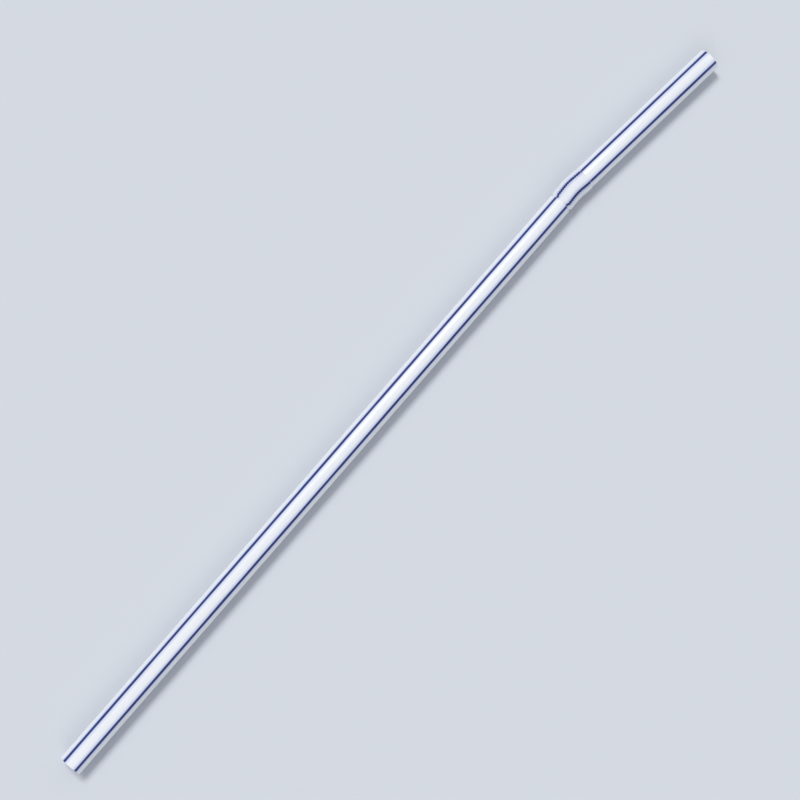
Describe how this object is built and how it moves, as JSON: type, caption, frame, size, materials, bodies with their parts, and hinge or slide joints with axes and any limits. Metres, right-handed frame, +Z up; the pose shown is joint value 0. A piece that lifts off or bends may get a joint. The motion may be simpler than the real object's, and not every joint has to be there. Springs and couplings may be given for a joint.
{
  "type": "flexible drinking straw",
  "caption": "Thin-walled drinking straw with a pleated bellows near its mouth end, closed up and slightly bent, so that the mouth end can be turned to the lips.",
  "frame": {"origin": "middle of the straw's footprint on the surface that it lies on", "axes": "+X along the plain lower length, from its open end towards the bellows and the mouth; +Z up, square to the level plane that the straw bends in; the mouth length turns a few degrees towards -Y"},
  "size_m": [0.197, 0.009, 0.0053],
  "materials": {
    "plastic": "semi-gloss, slightly translucent white, with thin navy stripes along its length"
  },
  "bodies": {
    "root": {"straw": "plastic"}
  },
  "joints": []
}
